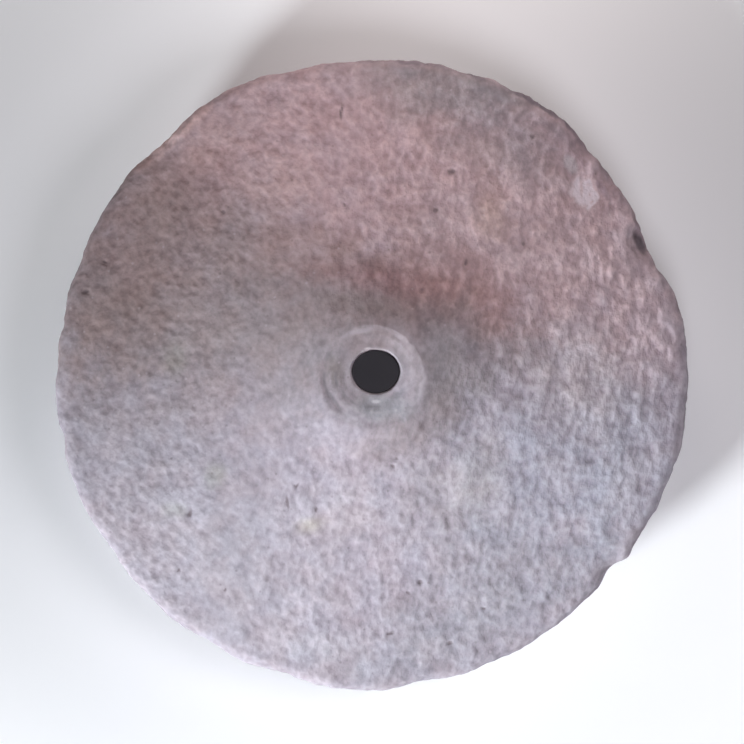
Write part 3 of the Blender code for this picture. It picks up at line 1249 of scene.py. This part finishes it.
@dataclass(frozen=True)
class StoneFinish:
    """Dry pecked stone, lilac grey, with soft stains, painted shade and painted light, and darker pits.

    Lowness is in millimetres below the ridges. A patch's edge and the width of its
    fade are shares of its half length and half width.
    """

    centre: tuple[float, float]
    pale: Colour = (0.385, 0.345, 0.385)
    dark: Colour = (0.335, 0.300, 0.333)
    pit_colour: Colour = (0.120, 0.088, 0.096)
    warm: Colour = (1.021, 0.993, 0.980)
    cool: Colour = (0.981, 1.001, 1.017)
    high: Colour = (1.070, 1.070, 1.070)
    low: Colour = (0.850, 0.828, 0.838)
    lowness: tuple[float, float] = (0.1, 1.2)
    fleck: Colour = (0.600, 0.540, 0.570)
    fleck_strength: float = 0.22
    speck_strength: float = 0.30
    washes: tuple[Wash, ...] = (
        # Pale wash on the bands: rubbed wear with painted light, most on the crest towards the right.
        Wash(Layer.RUBBED_AND_LIT, 0.05, 1.00, 0.36, (0.520, 0.470, 0.510)),
        # Painted shade in the grooves of the dish, on the lower left where the steps turn from the key lamp.
        Wash(Layer.GROOVE_SHADE, 0.05, 1.00, 0.54, (0.168, 0.166, 0.184)),
        Wash(Layer.SCAR, 0.10, 1.00, 0.90, (0.670, 0.585, 0.632)),
        Wash(Layer.MARK, 0.15, 0.95, 0.76, pit_colour),
        # Painted shade with dirt on the rim's rounding, strongest where it faces the upper right, away from
        # the key lamp, and on the side.
        Wash(Layer.SHADE_AND_GRIME, 0.05, 1.00, 0.75, (0.120, 0.100, 0.120)),
    )
    roughness: float = 0.9
    specular: float = 0.25
    clouds: Cloud = Cloud(26.0, 6.0, 0.70, 0.30, 0.70)
    tints: Cloud = Cloud(44.0, 4.0, 0.60, 0.32, 0.68)
    frayed: Cloud = Cloud(55.0, 4.0)
    raggedness: float = 0.9
    patch_edge: float = 0.7
    patch_fade: float = 0.6
    coarse_grain: Cloud = Cloud(270.0, 2.0)
    fine_grain: Cloud = Cloud(1100.0, 1.0)
    fine_share: float = 0.08
    grain_reach: tuple[float, float] = (0.32, 0.74)
    grain_shades: tuple[float, float] = (0.87, 1.13)
    grain_depth: float = 0.0006
    crystals_a_metre: float = 190.0
    crystal_edge: tuple[float, float] = (0.08, 0.24)
    fleck_above: float = 0.86
    speck_below: float = 0.16
    strokes: Strokes = Strokes(stretch=1.25, other_stretch=1.0)
    stains: tuple[Stain, ...] = STAINS

    def patch_group(self) -> bpy.types.NodeTree:
        """Build the group that masks one soft ragged patch.

        Returns:
            A group with Position, Centre, Turn, Size, Raggedness and Softness in and Mask out.
        """
        takes = dict.fromkeys(("Position", "Centre", "Turn", "Size"), "Vector")
        takes |= dict.fromkeys(("Raggedness", "Softness"), "Float")
        desk = NodeDesk.for_group("soft patch", takes, ["Mask"])
        given = desk.add("NodeGroupInput").outputs
        sockets = {"Vector": "Position", "Location": "Centre", "Rotation": "Turn", "Scale": "Size"}
        inputs = {label: given[name] for label, name in sockets.items()}
        moved = desk.add("Mapping", inputs, vector_type="TEXTURE")
        flat = desk.add("VectorMath", {0: moved.outputs[0], 1: (1.0, 1.0, 0.0)}, operation="MULTIPLY")
        length = desk.add("VectorMath", {0: flat.outputs[0]}, operation="LENGTH")
        centred = desk.math("SUBTRACT", desk.cloud(given["Position"], self.frayed), 0.5)
        wobble = desk.math("MULTIPLY", centred, given["Raggedness"])
        reach = desk.math("ADD", length.outputs["Value"], wobble)
        past = desk.math("SUBTRACT", reach, self.patch_edge)
        steep = desk.math("DIVIDE", past, given["Softness"])
        mask = desk.ramp(steep, -self.patch_fade, self.patch_fade, 1.0, 0.0)
        desk.add("NodeGroupOutput", {"Mask": mask})
        return desk.tree

    def drawn_grain(self, desk: NodeDesk, place: Socket) -> Socket:
        """Draw the coarse grain out along the strokes of the tool.

        Args:
            desk: The grain group's desk.
            place: Places on the stone.

        Returns:
            The grain, which runs one way and gives way to the other as the strokes do.
        """
        strokes = self.strokes
        grains = []
        for turn_deg, stretch in strokes.ways():
            drawing = {"Rotation": (0.0, 0.0, math.radians(turn_deg)), "Scale": (stretch, 1.0, 1.0)}
            drawn = desk.add("Mapping", {"Vector": place, **drawing}, vector_type="TEXTURE")
            grains.append(desk.cloud(drawn.outputs[0], self.coarse_grain))
        angle = math.radians(strokes.towards_deg)
        towards = (math.cos(angle), math.sin(angle), 0.0)
        along = desk.add("VectorMath", {0: place, 1: towards}, operation="DOT_PRODUCT").outputs["Value"]
        share = desk.ramp(along, strokes.change_from, strokes.change_to, 0.0, 1.0)
        gap = desk.math("MULTIPLY", share, desk.math("SUBTRACT", grains[1], grains[0]))
        return desk.math("ADD", grains[0], gap)

    def grain_group(self) -> bpy.types.NodeTree:
        """Build the group that gives the stone's mineral grain.

        Returns:
            A group with Position in, and Shade, Fleck, Speck and Height out.
        """
        gives = ("Shade", "Fleck", "Speck", "Height")
        desk = NodeDesk.for_group("mineral grain", {"Position": "Vector"}, gives)
        place = desk.add("NodeGroupInput").outputs["Position"]
        coarse = self.drawn_grain(desk, place)
        fine = desk.math("MULTIPLY", desk.cloud(place, self.fine_grain), self.fine_share)
        height = desk.math("ADD", coarse, fine)
        shade = desk.ramp(height, *self.grain_reach, *self.grain_shades)
        crystals = desk.add("TexVoronoi", {"Vector": place, "Scale": self.crystals_a_metre}).outputs
        near = desk.ramp(crystals["Distance"], *self.crystal_edge, 1.0, 0.0)
        kind = desk.add("SeparateColor", {"Color": crystals["Color"]}).outputs[0]
        fleck = desk.math("MULTIPLY", near, desk.math("GREATER_THAN", kind, self.fleck_above))
        speck = desk.math("MULTIPLY", near, desk.math("LESS_THAN", kind, self.speck_below))
        desk.add("NodeGroupOutput", dict(zip(gives, (shade, fleck, speck, height))))
        return desk.tree

    def stained(self, desk: NodeDesk, place: Socket) -> Socket:
        """Lay the stains over the clouded ground.

        Args:
            desk: The material's desk.
            place: Places on the stone.

        Returns:
            The stained ground's colour.
        """
        colour = desk.blend(desk.eased_cloud(place, self.clouds), self.dark, self.pale)
        patch = self.patch_group()
        for stain in self.stains:
            inputs = {"Position": place, "Raggedness": self.raggedness, **stain.placing(self.centre)}
            mask = desk.add("Group", inputs, node_tree=patch, label=stain.what).outputs["Mask"]
            colour = desk.blend(desk.math("MULTIPLY", mask, stain.strength), colour, stain.colour)
        return colour

    def weathered(self, desk: NodeDesk, place: Socket, colour: Socket, grain: Outputs) -> Socket:
        """Shade a colour by the grain, by soft tints and by how low each spot lies.

        Args:
            desk: The material's desk.
            place: Places on the stone.
            colour: The colour underneath.
            grain: The grain group's outputs.

        Returns:
            The colour with its grain, flecks and specks.
        """
        shade = desk.add("CombineColor", {index: grain["Shade"] for index in range(3)}).outputs[0]
        tint = desk.blend(desk.eased_cloud(place, self.tints), self.cool, self.warm)
        # Darker the lower a spot lies in the pecking: painted shade and dirt in the hollows.
        low = desk.ramp(desk.layer(Layer.PECKING), *self.lowness, 0.0, 1.0)
        for factor in (shade, tint, desk.blend(low, self.high, self.low)):
            colour = desk.blend(1.0, colour, factor, "MULTIPLY")
        crystals = {
            "Fleck": (self.fleck_strength, self.fleck),
            "Speck": (self.speck_strength, self.pit_colour),
        }
        for name, (strength, laid_on) in crystals.items():
            colour = desk.blend(desk.math("MULTIPLY", grain[name], strength), colour, laid_on)
        return colour

    def material(self) -> bpy.types.Material:
        """Build the stone's material.

        Returns:
            The new material.
        """
        material = bpy.data.materials.new("pecked stone")
        material.use_nodes = True
        desk = NodeDesk(material.node_tree)
        place = desk.add("TexCoord").outputs["Object"]
        grain = desk.add("Group", {"Position": place}, node_tree=self.grain_group()).outputs
        colour = self.weathered(desk, place, self.stained(desk, place), grain)
        for wash in self.washes:
            share = desk.ramp(desk.layer(wash.layer), wash.low, wash.high, 0.0, wash.strength)
            colour = desk.blend(share, colour, wash.colour)
        height = desk.math("MULTIPLY", grain["Height"], desk.layer(Layer.KEENNESS))
        bump = desk.add("Bump", {"Height": height, "Strength": 1.0, "Distance": self.grain_depth})
        shader = material.node_tree.nodes["Principled BSDF"]
        desk.tree.links.new(colour, shader.inputs["Base Color"])
        desk.tree.links.new(bump.outputs["Normal"], shader.inputs["Normal"])
        shader.inputs["Roughness"].default_value = self.roughness
        shader.inputs["Specular IOR Level"].default_value = self.specular
        return material


@dataclass(frozen=True)
class Lamp:
    """A soft lamp that looks at the stone from one side."""

    name: str
    azimuth_deg: float
    elevation_deg: float
    distance: float
    size: float
    power: float
    colour: Colour
    aim: tuple[float, float] = (0.0, 0.0)
    spread_deg: float = 180.0

    def hang(self, height: float) -> bpy.types.Object:
        """Hang the lamp and turn it to its aim.

        Args:
            height: Height of the point that it looks at.

        Returns:
            The lamp.
        """
        data = bpy.data.lights.new(self.name, "AREA")
        data.shape, data.size, data.spread = "DISK", self.size, math.radians(self.spread_deg)
        data.energy, data.color = self.power, self.colour
        lamp = bpy.data.objects.new(self.name, data)
        azimuth, elevation = math.radians(self.azimuth_deg), math.radians(self.elevation_deg)
        level = math.cos(elevation)
        out = Vector((math.cos(azimuth) * level, math.sin(azimuth) * level, math.sin(elevation)))
        lamp.location = out * self.distance + Vector((0.0, 0.0, height))
        lamp.visible_camera = False
        lamp.rotation_mode = "QUATERNION"
        towards = lamp.location - Vector((*self.aim, height))
        lamp.rotation_quaternion = towards.to_track_quat("Z", "Y")
        bpy.context.scene.collection.objects.link(lamp)
        return lamp


@dataclass(frozen=True)
class Studio:
    """The pale floor, the soft lamps and the camera straight above."""

    photo_side: int = 744
    rim_column: float = 372.5
    rim_row: float = 373.0
    pixel_size: float = 0.000668
    lens: float = 110.0
    sensor: float = 36.0
    floor_half: float = 8.0
    floor_colour: Colour = (0.88, 0.88, 0.88)
    floor_roughness: float = 0.9
    floor_specular: float = 0.1
    # Faint glow under the stone: painted light seen through the spindle hole.
    floor_glow: Colour = (0.0255, 0.0245, 0.0290)
    far_glow: Colour = (0.62, 0.62, 0.63)
    glow_reach: tuple[float, float] = (0.26, 0.70)
    sky_colour: Colour = (1.0, 0.92, 0.90)
    sky_strength: float = 0.05
    lamp_aim_height: float = 0.06
    lamps: tuple[Lamp, ...] = (
        Lamp("key", 225.0, 18.5, 2.0, 0.40, 6.2, (0.90, 0.95, 1.0), (0.30, -0.08), 50.0),
        Lamp("upper_fill", 82.0, 20.0, 0.45, 0.25, 0.68, (1.0, 0.92, 0.91)),
        Lamp("top_fill", 330.0, 58.0, 0.48, 0.28, 1.25, (0.95, 0.93, 1.0)),
    )

    def camera(self, form: StoneForm) -> bpy.types.Object:
        """Set up the camera so that the stone lies where the photograph has it.

        Args:
            form: The stone's form, for its rim's middle and height.

        Returns:
            The camera.
        """
        data = bpy.data.cameras.new("camera")
        data.lens, data.sensor_width = self.lens, self.sensor
        camera = bpy.data.objects.new("camera", data)
        middle = 0.5 * self.photo_side
        x = form.rim_centre[0] + (middle - self.rim_column) * self.pixel_size
        y = form.rim_centre[1] + (self.rim_row - middle) * self.pixel_size
        reach = self.photo_side * self.pixel_size * self.lens / self.sensor
        camera.location = (x, y, form.widest_height + reach)
        bpy.context.scene.collection.objects.link(camera)
        bpy.context.scene.camera = camera
        return camera

    def floor(self) -> bpy.types.Object:
        """Lay the pale floor; it glows faintly under the stone, painted light that shows grey through the
        spindle hole, and more brightly further out.

        Returns:
            The floor.
        """
        half = self.floor_half
        mesh = bpy.data.meshes.new("floor")
        corners = [(-half, -half, 0), (half, -half, 0), (half, half, 0), (-half, half, 0)]
        mesh.from_pydata(corners, [], [(0, 1, 2, 3)])
        material = bpy.data.materials.new("pale floor")
        material.use_nodes = True
        shader = material.node_tree.nodes["Principled BSDF"]
        shader.inputs["Base Color"].default_value = (*self.floor_colour, 1.0)
        shader.inputs["Roughness"].default_value = self.floor_roughness
        shader.inputs["Specular IOR Level"].default_value = self.floor_specular
        shader.inputs["Emission Strength"].default_value = 1.0
        desk = NodeDesk(material.node_tree)
        away = desk.add("VectorMath", {0: desk.add("TexCoord").outputs["Object"]}, operation="LENGTH")
        far_share = desk.ramp(away.outputs["Value"], *self.glow_reach, 0.0, 1.0)
        glow = desk.blend(far_share, self.floor_glow, self.far_glow)
        desk.tree.links.new(glow, shader.inputs["Emission Color"])
        mesh.materials.append(material)
        floor = bpy.data.objects.new("floor", mesh)
        bpy.context.scene.collection.objects.link(floor)
        return floor

    def light(self) -> None:
        """Hang the lamps and give the room its even light."""
        for lamp in self.lamps:
            lamp.hang(self.lamp_aim_height)
        world = bpy.data.worlds.new("studio")
        world.use_nodes = True
        sky = world.node_tree.nodes["Background"]
        sky.inputs["Color"].default_value = (*self.sky_colour, 1.0)
        sky.inputs["Strength"].default_value = self.sky_strength
        bpy.context.scene.world = world
        bpy.context.scene.view_settings.view_transform = "Standard"


def main() -> None:
    """Build the stone, dress it and set up the studio."""
    logging.basicConfig(level=logging.INFO, format="%(name)s: %(message)s")
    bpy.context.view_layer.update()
    lower_stone = LowerStone()
    studio = Studio()
    studio.camera(lower_stone.form)
    stone = lower_stone.build()
    lower_stone.place(stone)
    finish = StoneFinish(lower_stone.form.rim_centre)
    stone.data.materials.append(finish.material())
    LOG.info("%s: %d points, %d faces", stone.name, len(stone.data.vertices), len(stone.data.polygons))
    studio.floor()
    studio.light()
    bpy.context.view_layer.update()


if __name__ == "__main__":
    main()
